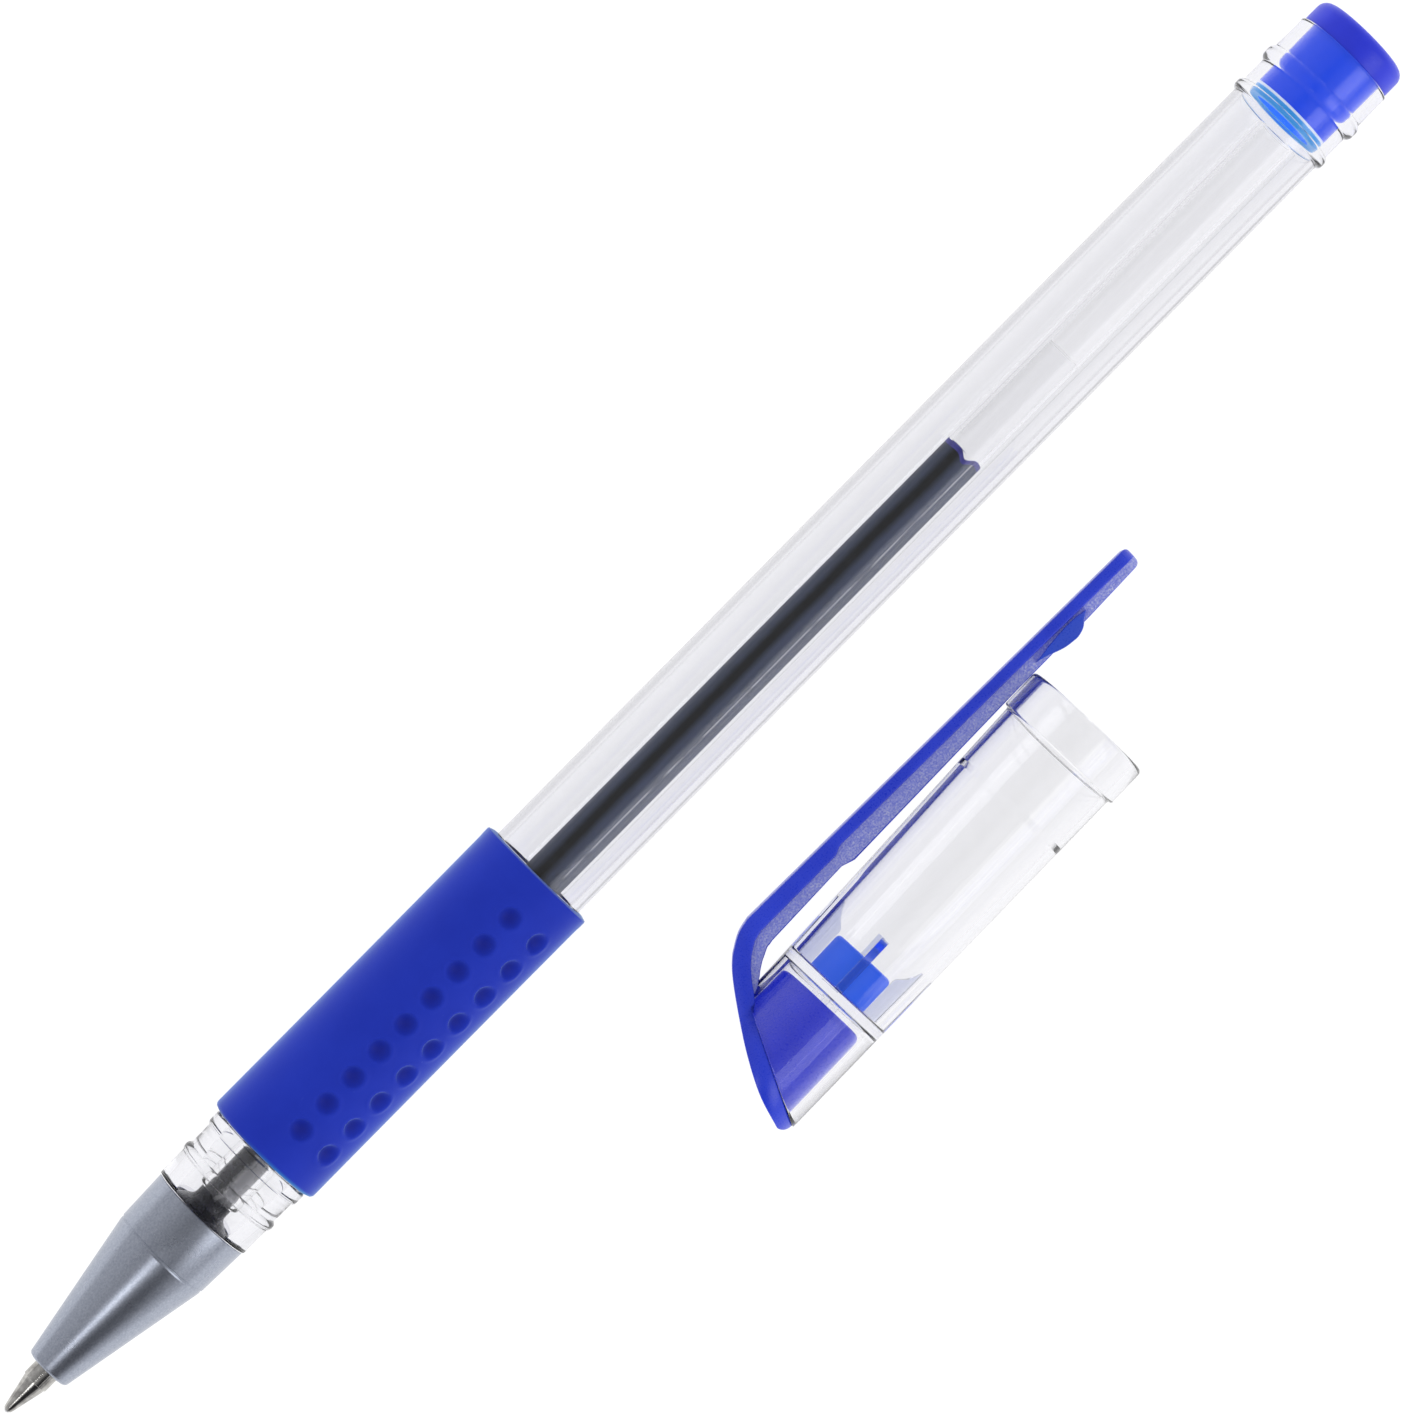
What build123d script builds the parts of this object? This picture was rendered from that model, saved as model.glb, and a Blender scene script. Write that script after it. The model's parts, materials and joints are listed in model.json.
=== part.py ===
"""Capped gel pen, lying on a table with its cap pulled off and laid beside it.

Every piece of the pen is modelled along its own X axis, with the point of the nib at x = 0 and
the rear end at x = PEN_LENGTH.  Every piece of the cap is modelled along its own X axis, with
the mouth at x = 0, the closed end at negative x and the clip on the +Y side.  Both groups are
then laid down on z = 0, so that the origin is the centre of the bottom of the whole object's box.
"""

import math
import os

from build123d import *

# ---- driving dimensions, millimetres -------------------------------------------------------

# writing point
BALL_R = 0.25               # 0.5 mm writing ball
BALL_PLAY = 0.02            # radial clearance of the ball in its socket
RIM_X = 0.15                # rim of the socket, just ahead of the ball's middle
RIM_R = 0.30
POINT_END = 3.0             # end of the tapered metal point
POINT_R = 0.95
TIP_R = 1.035               # round shank of the metal tip
TIP_END = 12.0
INK_CHANNEL_R = 0.55

# nose cone
NOSE_FRONT = 4.3
NOSE_FRONT_R = 1.765
NOSE_SHOULDER = 15.95
NOSE_SHOULDER_R = 3.93
NOSE_REAR = 20.05
NOSE_REAR_R = 4.07
NOSE_TIP_BORE_R = 1.10
NOSE_STEP = 7.2             # inner shoulder that the refill is pushed against
NOSE_BORE_R = 1.60
SOCKET_FRONT = 15.0         # start of the socket for the barrel's spigot
SOCKET_R = 3.31

# barrel
SPIGOT_FRONT = 15.3
SPIGOT_R = 3.27
SPIGOT_BORE_R = 2.75
BARREL_R = 4.05
BARREL_BORE_R = 3.35
BARREL_END = 136.5
REAR_BORE_R = 3.46
REAR_BORE_X = 129.7
FRONT_TAPER = 20.5          # the barrel's bore opens gently behind its spigot
FRONT_TAPER_END = 26.5
GRIP_SEAT_R = 3.85
COLLARS = (                 # (start, end, radius, edge rounding) of the turned front collars
    (20.05, 22.45, 4.18, 0.10),
    (22.4, 23.2, 4.34, 0.32),
    (23.15, 25.1, 4.10, 0.05),
    (25.05, 26.15, 4.32, 0.20),
)
REAR_RINGS = (              # the same for the rings around the end plug
    (129.5, 130.4, 4.33, 0.30),
    (130.3, 132.45, 4.08, 0.05),
    (132.35, 133.75, 4.40, 0.50),
    (133.65, BARREL_END, 4.14, 0.12),
)

# grip sleeve
GRIP_FRONT = 26.25
GRIP_REAR = 54.3
GRIP_R = 4.86
GRIP_EDGE = 0.35
GRIP_BORE_R = 3.87
DIMPLE_COUNT = 9            # dimples in one row
DIMPLE_START = 29.65
DIMPLE_PITCH = 2.64
DIMPLE_BALL_R = 0.86
DIMPLE_R = 0.80             # radius of a dimple's rim
DIMPLE_ROWS = (10, 46, 190, 226)    # degrees from the top, towards the cap

# end plug
PLUG_FRONT = 130.1
PLUG_R = 3.43
PLUG_BORE_R = 2.75
PLUG_FLOOR = 135.8
PLUG_HEAD_R = 3.98
PEN_LENGTH = 138.6
PLUG_EDGE = 0.55

# refill
CONNECTOR_FRONT = 7.4
CONNECTOR_R = 1.50
FLANGE_X = 19.6
FLANGE_THICK = 0.7
FLANGE_R = 2.60
TUBE_FRONT = 21.6
TUBE_REAR = 129.0
TUBE_R = 1.88
TUBE_BORE_R = 1.30
CONNECTOR_REAR = 25.5       # end of the connector's stem inside the tube
INK_REAR = 97.3
FOLLOWER_REAR = 107.3
LEAN = 0.55                 # the tube leans this far to the cap's side behind the grip
LEAN_START = 33.0
LEAN_END = 49.0

# cap, from its mouth
MOUTH_RING = 3.2
MOUTH_RING_R = 5.23
CAP_R_OPEN = 4.93           # outer radius next to the ring
CAP_R_CLOSED = 4.50
CAP_BORE_R = 4.40
CAP_BORE = 8.2              # depth of the wide bore
CAP_INNER_R = 4.22
CAP_INNER_END_R = 3.80
PARTITION_FRONT = -26.3
PARTITION_BACK = -26.95
CHAMBER_R = 3.78
CLOSED_X = -33.4            # where the slanted end crosses the axis
SLANT = 27.5                # degrees from square
FIN_THICK = 0.6
FIN_INNER_R = 2.60
FIN_END = -21.35
FIN_SHOULDER = -23.1
STUD_R = 0.25
STUD_CIRCLE_R = 0.9

# nib seal
SEAL_R = 2.55
SEAL_FRONT = -23.3
SEAL_HOLE_R = 1.10
SEAL_HOLE_END = -26.05

# clip
PLATE_THICK = 1.3
BLOCK_R = 3.70
BLOCK_END = -27.6
SPLIT_Y = 5.25              # the clip flexes where its plate leaves the shell
ARM_ROOT_X = -27.3
ARM_ROOT_Y = 8.19           # outer face of the arm, just past the bend
ARM_FALL = -0.040           # the arm closes on the shell's axis towards the mouth
ARM_END_X = 10.85
ARM_WIDTH = 5.2
BEND_R = 5.2
END_ROUND = 0.3
LEAF_STEP_X = -19.0         # the leaf thins here
LEAF_THIN = 0.90
LEAF_END = 0.85
RIB_WIDTH = 3.4
RIB_THICK = 1.0
RIB_GAP = 0.06              # between the rib and the cap's mouth ring
RIB_BEND_R = 2.2            # inside of the bend
RIB_ROOT_Y = 4.66           # the rib's foot, just clear of the shell
RIB_DIP_X = 6.3
RIB_DIP_Y = 5.13
RIB_END_Y = 5.2
BUMP_WIDTH = 4.4
BUMP = (                    # outline of the gripping bump, from its root over its crest
    (0.45, 5.70),
    (1.35, 5.40),
    (2.55, 4.94),
    (3.45, 4.78),
    (3.90, 4.76),
    (4.55, 4.94),
    (5.10, 5.35),
    (5.60, 5.68),
    (3.60, 5.92),
)

# where the cap lies beside the pen
MOUTH_X = 89.8              # station of the mouth along the pen, from the nib
MOUTH_Y = -20.40
CAP_TURN = 1.45             # degrees
PEN_Y = 10.490              # keeps the whole object centred on y = 0


# ---- helpers -------------------------------------------------------------------------------

def rod(start, end, radius):
    """Solid cylinder along X."""
    base = Cylinder(radius, end - start, align=(Align.CENTER, Align.CENTER, Align.MIN))
    return Pos(start, 0, 0) * Rot(0, 90, 0) * base


def collar(start, end, radius, edge):
    """Cylinder along X with both of its edges rounded."""
    body = rod(start, end, radius)
    return fillet(body.edges().filter_by(GeomType.CIRCLE), edge)


def lathe(*points):
    """Solid of revolution about X from a closed outline of (x, radius) points."""
    return revolve(make_face(Polyline(*points, close=True)), Axis.X)


def taper(start, end, start_r, end_r):
    """Cone frustum along X."""
    return lathe((start, 0), (start, start_r), (end, end_r), (end, 0))


def slanted_half_space(offset):
    """Block on the open side of the cap's slanted end, moved outwards by offset."""
    reach = 120.0
    block = Box(reach, reach, reach, align=(Align.MIN, Align.CENTER, Align.CENTER))
    turn = Rot(0, 0, -SLANT)
    return Pos(CLOSED_X, 0, 0) * turn * Pos(-offset, 0, 0) * block


def side_extrude(outline, width):
    """Flat outline in the XY plane, extruded to both sides of it."""
    return extrude(outline, width / 2, both=True)


# ---- pen -----------------------------------------------------------------------------------

def make_ball():
    return Pos(BALL_R, 0, 0) * Sphere(BALL_R)


def make_tip_body():
    point = taper(RIM_X, POINT_END, RIM_R, POINT_R)
    shank = rod(POINT_END, TIP_END, TIP_R)
    socket = Pos(BALL_R, 0, 0) * Sphere(BALL_R + BALL_PLAY)
    throat = rod(BALL_R, 1.4, 0.12)
    channel = rod(1.4, TIP_END, INK_CHANNEL_R)
    return point + shank - socket - throat - channel


def make_connector():
    body = rod(CONNECTOR_FRONT, TUBE_FRONT, CONNECTOR_R)
    flange_back = FLANGE_X + FLANGE_THICK
    flange = rod(FLANGE_X, flange_back, FLANGE_R)
    flare = taper(flange_back, flange_back + 0.8, FLANGE_R, CONNECTOR_R)
    stem = rod(TUBE_FRONT, CONNECTOR_REAR, TUBE_BORE_R)
    tip_hole = rod(CONNECTOR_FRONT, TIP_END, TIP_R)
    channel = rod(TIP_END, CONNECTOR_REAR, INK_CHANNEL_R)
    return body + flange + flare + stem - tip_hole - channel


def refill_rod(start, end, radius):
    """Length of the refill, which leans gently to one side of the barrel under the grip."""
    slope = math.atan2(LEAN, LEAN_END - LEAN_START)
    bend = 0.45 * (LEAN_END - LEAN_START) / math.tan(slope / 2)
    path = FilletPolyline(
        (TUBE_FRONT, 0), (LEAN_START, 0), (LEAN_END, -LEAN), (TUBE_REAR, -LEAN),
        radius=bend,
    )
    section = Plane(origin=(TUBE_FRONT, 0, 0), z_dir=(1, 0, 0)) * Circle(radius)
    whole = sweep(section, path=path)
    if start <= TUBE_FRONT and end >= TUBE_REAR:
        return whole
    slab = Box(end - start, 20, 20, align=(Align.MIN, Align.CENTER, Align.CENTER))
    return whole & (Pos(start, 0, 0) * slab)


def make_refill_tube():
    return refill_rod(TUBE_FRONT, TUBE_REAR, TUBE_R) - refill_rod(TUBE_FRONT, TUBE_REAR, TUBE_BORE_R)


def make_ink():
    column = refill_rod(CONNECTOR_REAR, INK_REAR, TUBE_BORE_R)
    return column + rod(TIP_END, CONNECTOR_REAR, INK_CHANNEL_R)


def make_follower():
    return refill_rod(INK_REAR, FOLLOWER_REAR, TUBE_BORE_R)


def make_nose_cone():
    front = taper(NOSE_FRONT, NOSE_SHOULDER, NOSE_FRONT_R, NOSE_SHOULDER_R)
    front = fillet(front.edges().sort_by(Axis.X)[0], 0.3)
    rear = taper(NOSE_SHOULDER, NOSE_REAR, NOSE_SHOULDER_R, NOSE_REAR_R)
    bores = (
        rod(NOSE_FRONT, NOSE_STEP, NOSE_TIP_BORE_R)
        + rod(NOSE_STEP, SOCKET_FRONT, NOSE_BORE_R)
        + rod(SOCKET_FRONT, NOSE_REAR, SOCKET_R)
    )
    return front + rear - bores


def make_barrel():
    body = rod(SPIGOT_FRONT, BARREL_END, SPIGOT_R)
    body += rod(COLLARS[-1][1] - 0.1, GRIP_REAR, GRIP_SEAT_R)
    body += rod(GRIP_REAR, REAR_RINGS[0][0] + 0.1, BARREL_R)
    for ring in COLLARS + REAR_RINGS:
        body += collar(*ring)
    body -= rod(SPIGOT_FRONT, FRONT_TAPER, SPIGOT_BORE_R)
    body -= taper(FRONT_TAPER, FRONT_TAPER_END, SPIGOT_BORE_R, BARREL_BORE_R)
    body -= rod(FRONT_TAPER_END, REAR_BORE_X, BARREL_BORE_R)
    return body - rod(REAR_BORE_X, BARREL_END, REAR_BORE_R)


def make_grip():
    sleeve = collar(GRIP_FRONT, GRIP_REAR, GRIP_R, GRIP_EDGE) - rod(GRIP_FRONT, GRIP_REAR, GRIP_BORE_R)
    height = math.sqrt(DIMPLE_BALL_R**2 - DIMPLE_R**2)
    for angle in DIMPLE_ROWS:
        for index in range(DIMPLE_COUNT):
            x = DIMPLE_START + index * DIMPLE_PITCH
            sleeve -= Rot(angle, 0, 0) * Pos(x, 0, GRIP_R + height) * Sphere(DIMPLE_BALL_R)
    return sleeve


def make_end_plug():
    head = rod(BARREL_END, PEN_LENGTH, PLUG_HEAD_R)
    head = fillet(head.edges().sort_by(Axis.X)[-1], PLUG_EDGE)
    return head + rod(PLUG_FRONT, BARREL_END, PLUG_R) - rod(PLUG_FRONT, PLUG_FLOOR, PLUG_BORE_R)


# ---- cap -----------------------------------------------------------------------------------

def make_fin():
    """Gusset between the partition and the shell's wall, on the +Y side."""
    wall_r = CAP_INNER_END_R + 0.2
    outline = make_face(Polyline(
        (PARTITION_FRONT, FIN_INNER_R), (FIN_SHOULDER, FIN_INNER_R),
        (FIN_END, wall_r), (PARTITION_FRONT, wall_r), close=True,
    ))
    return side_extrude(outline, FIN_THICK)


def make_cap_shell():
    far_end = CLOSED_X - 6
    slope = (CAP_R_OPEN - CAP_R_CLOSED) / (-MOUTH_RING - CLOSED_X)
    outside = taper(far_end, -MOUTH_RING + 0.2, CAP_R_CLOSED + slope * (far_end - CLOSED_X), CAP_R_OPEN)
    outside += collar(-MOUTH_RING, 0, MOUTH_RING_R, 0.45)
    shell = outside - rod(-CAP_BORE, 0, CAP_BORE_R)
    shell -= taper(PARTITION_FRONT, -CAP_BORE, CAP_INNER_END_R, CAP_INNER_R)
    shell -= rod(far_end, PARTITION_BACK, CHAMBER_R)
    for angle in (0, 90, 180, 270):
        shell += Rot(angle, 0, 0) * make_fin()
        shell += Rot(angle, 0, 0) * Pos(0, STUD_CIRCLE_R, 0) * rod(BLOCK_END, PARTITION_BACK, STUD_R)
    return shell & slanted_half_space(0)


def make_nib_seal():
    seal = rod(PARTITION_FRONT, SEAL_FRONT, SEAL_R)
    seal = fillet(seal.edges().sort_by(Axis.X)[-1], 0.3)
    return seal - rod(SEAL_HOLE_END, SEAL_FRONT, SEAL_HOLE_R)


def plate_x(y, offset):
    """Station of the slanted end's plane, moved outwards by offset, at height y."""
    return CLOSED_X - offset / math.cos(math.radians(SLANT)) + y * math.tan(math.radians(SLANT))


def arm_y(x, depth=0.0):
    """Height of the arm's outer face at station x, less a depth into the arm."""
    return ARM_ROOT_Y + ARM_FALL * (x - ARM_ROOT_X) - depth


def bend_corner(depth):
    """Where the plate's line and the arm's line, both set in by depth, would meet."""
    tangent = math.tan(math.radians(SLANT))
    start_x = plate_x(0, PLATE_THICK - depth)
    y = (arm_y(start_x, depth)) / (1 - ARM_FALL * tangent)
    return (start_x + y * tangent, y)


def split_point(depth):
    """Point on the square cut between the clip's plate and its arm, a depth in from outside."""
    turn = math.radians(SLANT)
    return (plate_x(SPLIT_Y, PLATE_THICK) + depth * math.cos(turn), SPLIT_Y - depth * math.sin(turn))


def make_clip_base():
    layer = slanted_half_space(PLATE_THICK) - slanted_half_space(0)
    plate = rod(CLOSED_X - 8, CLOSED_X + 8, CAP_R_CLOSED) & layer
    tongue = make_face(Polyline(
        (plate_x(0, PLATE_THICK), 0), split_point(0), split_point(PLATE_THICK), (plate_x(0, 0), 0),
        close=True,
    ))
    block = rod(CLOSED_X - 6, BLOCK_END, BLOCK_R)
    block = fillet(block.edges().sort_by(Axis.X)[-1], 0.5) & slanted_half_space(0)
    return plate + side_extrude(tongue, ARM_WIDTH) + block


def make_clip_arm():
    leaf = FilletPolyline(
        split_point(0),
        bend_corner(0),
        (ARM_END_X, arm_y(ARM_END_X)),
        (ARM_END_X, arm_y(ARM_END_X, LEAF_END)),
        (LEAF_STEP_X + 0.3, arm_y(LEAF_STEP_X, LEAF_THIN)),
        (LEAF_STEP_X - 0.3, arm_y(LEAF_STEP_X, PLATE_THICK)),
        bend_corner(PLATE_THICK),
        split_point(PLATE_THICK),
        radius=[0, BEND_R, END_ROUND, END_ROUND, 0, 0, BEND_R - PLATE_THICK, 0],
        close=True,
    )
    rib_depth = PLATE_THICK + RIB_THICK
    rib = FilletPolyline(
        split_point(PLATE_THICK / 2),
        bend_corner(PLATE_THICK / 2),
        (ARM_END_X - 0.3, arm_y(ARM_END_X, LEAF_END / 2)),
        (ARM_END_X - 0.3, RIB_END_Y),
        (RIB_DIP_X, RIB_DIP_Y),
        (-MOUTH_RING / 2, MOUTH_RING_R + RIB_GAP),
        bend_corner(rib_depth),
        (plate_x(RIB_ROOT_Y, PLATE_THICK - rib_depth), RIB_ROOT_Y),
        split_point(PLATE_THICK),
        radius=[0, BEND_R - PLATE_THICK / 2, 0, 0, 0, 0, RIB_BEND_R, 0, 0],
        close=True,
    )
    bump = Polyline(*BUMP, close=True)
    arm = side_extrude(make_face(leaf), ARM_WIDTH) + side_extrude(make_face(rib), RIB_WIDTH)
    return arm + side_extrude(make_face(bump), BUMP_WIDTH)


# ---- the object ----------------------------------------------------------------------------

PEN_PLACE = Pos(-PEN_LENGTH / 2, PEN_Y, GRIP_R)
CAP_PLACE = Pos(MOUTH_X - PEN_LENGTH / 2, PEN_Y + MOUTH_Y, MOUTH_RING_R) * Rot(0, 0, CAP_TURN)

PEN_PIECES = {
    "barrel": make_barrel,
    "grip_sleeve": make_grip,
    "end_plug": make_end_plug,
    "nose_cone": make_nose_cone,
    "refill_tube": make_refill_tube,
    "tip_connector": make_connector,
    "metal_tip": make_tip_body,
    "writing_ball": make_ball,
    "ink_column": make_ink,
    "ink_follower": make_follower,
}
CAP_PIECES = {
    "cap_shell": make_cap_shell,
    "nib_seal": make_nib_seal,
    "clip_base": make_clip_base,
    "clip_arm": make_clip_arm,
}


def build():
    """All pieces in their places, by name."""
    placed = {name: PEN_PLACE * make() for name, make in PEN_PIECES.items()}
    placed.update({name: CAP_PLACE * make() for name, make in CAP_PIECES.items()})
    return placed


os.makedirs("parts", exist_ok=True)
for node, shape in build().items():
    export_step(shape, f"parts/{node}.step")
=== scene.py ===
"""Gel pen with its cap pulled off beside it: the looks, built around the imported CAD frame.

Pieces of the pen are built along its own X axis in millimetres, nib at x = 0.  Pieces of the cap
are built along the cap's X axis, mouth at x = 0, clip on the +Y side.  PEN and CAP put both into
the frame, in metres.
"""

import json
import math

import bmesh
import bpy
from mathutils import Matrix, Vector, noise


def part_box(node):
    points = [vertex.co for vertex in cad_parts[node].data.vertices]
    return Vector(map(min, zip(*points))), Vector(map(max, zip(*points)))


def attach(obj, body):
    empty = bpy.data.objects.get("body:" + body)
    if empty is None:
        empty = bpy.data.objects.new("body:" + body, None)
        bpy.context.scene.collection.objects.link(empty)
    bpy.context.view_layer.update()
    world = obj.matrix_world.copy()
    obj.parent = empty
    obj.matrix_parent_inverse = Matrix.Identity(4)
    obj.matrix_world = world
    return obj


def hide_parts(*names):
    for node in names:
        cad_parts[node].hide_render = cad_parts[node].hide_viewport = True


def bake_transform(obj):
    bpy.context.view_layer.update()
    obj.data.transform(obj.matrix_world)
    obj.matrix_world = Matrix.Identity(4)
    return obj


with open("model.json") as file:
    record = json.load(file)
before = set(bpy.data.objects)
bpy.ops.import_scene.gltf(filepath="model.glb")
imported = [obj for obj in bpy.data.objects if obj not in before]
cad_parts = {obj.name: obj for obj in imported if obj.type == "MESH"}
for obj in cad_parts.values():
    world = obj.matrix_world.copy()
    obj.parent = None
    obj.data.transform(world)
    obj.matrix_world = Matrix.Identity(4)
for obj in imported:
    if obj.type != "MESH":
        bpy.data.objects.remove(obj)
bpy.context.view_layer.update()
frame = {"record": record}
MM = 0.001

# ---- the frame: where the pen and the cap lie ----------------------------------------------

MOUNTS = {mount["name"]: mount for mount in frame["record"]["mounts"]}


def centre(node):
    low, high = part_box(node)
    return (low + high) / 2


def pen_place():
    """Nib at the origin, +X to the rear end."""
    axis = centre("barrel")
    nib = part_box("writing_ball")[0].x
    return Matrix.Translation((nib, axis.y, axis.z)) @ Matrix.Scale(MM, 4)


def cap_place():
    """Mouth at the origin, +X out of the mouth."""
    bore = MOUNTS["cap_mouth"]
    axis = Vector(bore["axis"])
    mouth = Vector(bore["pos_m"]) + axis * bore["dims"]["length_mm"] * MM / 2
    turn = Matrix.Rotation(math.atan2(axis.y, axis.x), 4, "Z")
    return Matrix.Translation(mouth) @ turn @ Matrix.Scale(MM, 4)


PEN = pen_place()
CAP = cap_place()

# ---- sizes, millimetres --------------------------------------------------------------------

BARREL_R, BORE_R = 4.05, 3.35
SPIGOT_FRONT, CONE_REAR = 15.3, 20.05   # the barrel's spigot inside the cone, and its shoulder
SPIGOT_BORE_R = 2.75
GRIP_SEAT_R = 3.85
GRIP_FRONT, GRIP_REAR, GRIP_R = 26.25, 54.3, 4.835
GRIP_LIP, GRIP_EDGE = 0.025, 0.4
GRIP_SEGMENTS, GRIP_STEP = 300, 0.115   # grid of the sleeve, round it and along it
DIMPLES, DIMPLE_START, DIMPLE_PITCH = 9, 29.65, 2.64
DIMPLE_R, DIMPLE_DEPTH, DIMPLE_HALO = 0.84, 0.48, 0.05
DIMPLE_ROWS = (10, 46, 190, 226)   # degrees from the top towards the cap
BARREL_END, PEN_LENGTH = 136.5, 138.6
COLLARS = (                        # start, end, radius and edge rounding of the front collars
    (20.05, 22.45, 4.18, 0.10), (22.4, 23.2, 4.34, 0.32),
    (23.15, 25.1, 4.10, 0.05), (25.05, 26.15, 4.32, 0.20),
)
REAR_RINGS = (                     # the same for the rings round the end plug
    (129.5, 130.4, 4.33, 0.30), (130.3, 132.45, 4.08, 0.05),
    (132.35, 133.75, 4.40, 0.50), (133.65, 136.5, 4.14, 0.12),
)
TUBE_R, TUBE_BORE_R = 1.88, 1.30
TUBE_FRONT, TUBE_REAR = 21.6, 129.0
BALL_R, SOCKET_R = 0.25, 0.27
TIP_SHANK_R, TIP_BORE_R, TIP_REAR = 1.035, 0.55, 12.0
CONNECTOR_REAR, CONNECTOR_R, CONNECTOR_STEM_R = 25.5, 1.50, 1.29
INK_REAR, FOLLOWER_REAR = 97.3, 107.3
INK_RAGGED = 2.5                   # length at the ink's rear over which its rim is uneven
LEAN, LEAN_START, LEAN_END = 0.55, 25.8, 56.2

CLOSED_X, SLANT = -33.4, math.radians(27.5)
CLOSED_R = 4.5
PARTITION_BACK, PARTITION_FRONT = -26.95, -26.3
SEAL_R, SEAL_FRONT, FIN_INNER_R = 2.55, -23.3, 2.60
BLOCK_END, BLOCK_R = -27.6, 3.70
PLATE_R = 4.35
ARM_ROOT_X, ARM_ROOT_Y, ARM_FALL = -27.3, 8.19, -0.040
ARM_END_X, ARM_WIDTH, RIB_WIDTH = 10.85, 5.2, 3.4
CLIP_FOOT, CLIP_FOOT_R = (-35.68, -3.57), 0.75   # round lower end of the plate
CLIP_OUTER = (                     # outer face of the clip round its bend, station and height
    (-36.43, -3.57), (-35.53, -1.05), (-34.15, 1.455), (-32.53, 3.83),
    (-30.90, 5.955), (-29.90, 6.955), (-29.15, 7.455), (-28.15, 7.955), (-27.03, 8.18),
)
CLIP_NOSE = 0.6                    # length at the arm's end that is stepped more finely
LEAF_BEND = (                      # height and thickness of the leaf up its bend
    (-3.0, 1.19), (0.0, 1.33), (3.0, 1.26), (5.0, 1.36), (7.0, 1.36), (8.19, 1.31),
)
LEAF_ARM = (                       # station and thickness of the leaf along the arm
    (-27.3, 1.31), (-22.0, 1.25), (-19.3, 1.22), (-18.7, 0.90), (0.0, 0.86), (10.85, 0.90),
)
RIB_ROOT = (                       # height and depth of the rib up the bend
    (4.9, 0.0), (5.3, 0.3), (5.95, 0.58), (6.95, 0.8), (7.9, 0.99), (8.19, 1.08),
)
RIB_FOOT = (                       # station and height of the rib's foot along the arm
    (-27.3, 5.80), (-19.6, 5.82), (-18.6, 5.46), (-1.6, 5.31),
    (0.5, 5.26), (5.5, 5.14), (10.9, 5.14),
)
BUMP_OVER = (                      # the boss's round underside, then its root inside the arm
    (0.45, 5.70), (1.35, 5.40), (2.55, 4.94), (3.45, 4.78),
    (3.90, 4.76), (4.55, 4.94), (5.10, 5.35),
)
BUMP_ROOT = ((5.60, 5.68), (4.70, 5.86), (3.60, 5.92), (2.00, 5.86))
BUMP_WIDTH = 4.4


# ---- mesh helpers --------------------------------------------------------------------------

ARC_STEP = 15                      # degrees between the points of a round corner


def add_object(name, bm, place, sharp=35):
    """Mesh object from a bmesh built in millimetres, smooth but for its sharp edges."""
    bmesh.ops.recalc_face_normals(bm, faces=bm.faces)
    bm.transform(place)
    mesh = bpy.data.meshes.new(name)
    bm.to_mesh(mesh)
    bm.free()
    mesh.shade_smooth()
    mesh.set_sharp_from_angle(angle=math.radians(sharp))
    obj = bpy.data.objects.new(name, mesh)
    bpy.context.scene.collection.objects.link(obj)
    return obj


def rounded(corners):
    """Closed outline from corners (x, y) or (x, y, radius), with round corners as arcs."""
    count = len(corners)
    points = []
    for i, corner in enumerate(corners):
        here = Vector(corner[:2])
        radius = corner[2] if len(corner) > 2 else 0
        if not radius:
            points.append(here)
            continue
        back = (Vector(corners[i - 1][:2]) - here).normalized()
        ahead = (Vector(corners[(i + 1) % count][:2]) - here).normalized()
        half = back.angle(ahead) / 2
        middle = here + (back + ahead).normalized() * radius / math.sin(half)
        start = here + back * radius / math.tan(half) - middle
        end = here + ahead * radius / math.tan(half) - middle
        sweep = start.angle_signed(end)
        steps = max(2, round(abs(math.degrees(sweep)) / ARC_STEP))
        for k in range(steps + 1):
            points.append(middle + Matrix.Rotation(-sweep * k / steps, 2) @ start)
    return points


def lathe(name, outline, place, segments=160, warp=None, sharp=35, zone=None):
    """Closed outline of (x, radius) points turned about X.  Points on the axis become poles.

    warp(point) moves each point afterwards, and zone(x, radius) picks the material slot of each
    turned band.
    """
    bm = bmesh.new()
    rings = []
    for x, r in outline:
        if r < 1e-6:
            ring = [bm.verts.new((x, 0, 0))] * segments
        else:
            ring = []
            for k in range(segments):
                turn = 2 * math.pi * k / segments
                ring.append(bm.verts.new((x, r * math.cos(turn), r * math.sin(turn))))
        rings.append(ring)
    if warp:
        for vert in bm.verts:
            vert.co = warp(vert.co)
    for i, ring in enumerate(rings):
        ahead = rings[(i + 1) % len(rings)]
        middle = (Vector(outline[i]) + Vector(outline[(i + 1) % len(rings)])) / 2
        slot = zone(middle.x, middle.y) if zone else 0
        for k in range(segments):
            corners = (ring[k], ring[(k + 1) % segments], ahead[(k + 1) % segments], ahead[k])
            unique = list(dict.fromkeys(corners))
            if len(unique) > 2:
                bm.faces.new(unique).material_index = slot
    return add_object(name, bm, place, sharp)


def add_weights(obj, name, weight, place):
    """Per-point value weight(local point) for a material to read."""
    layer = obj.data.attributes.new(name, "FLOAT", "POINT")
    home = place.inverted()
    layer.data.foreach_set("value", [weight(home @ vert.co) for vert in obj.data.vertices])


def table(pairs, value):
    """Piecewise straight line through (value, result) pairs."""
    if value <= pairs[0][0]:
        return pairs[0][1]
    for (a, low), (b, high) in zip(pairs, pairs[1:]):
        if value <= b:
            return low + (high - low) * (value - a) / (b - a)
    return pairs[-1][1]


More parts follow.
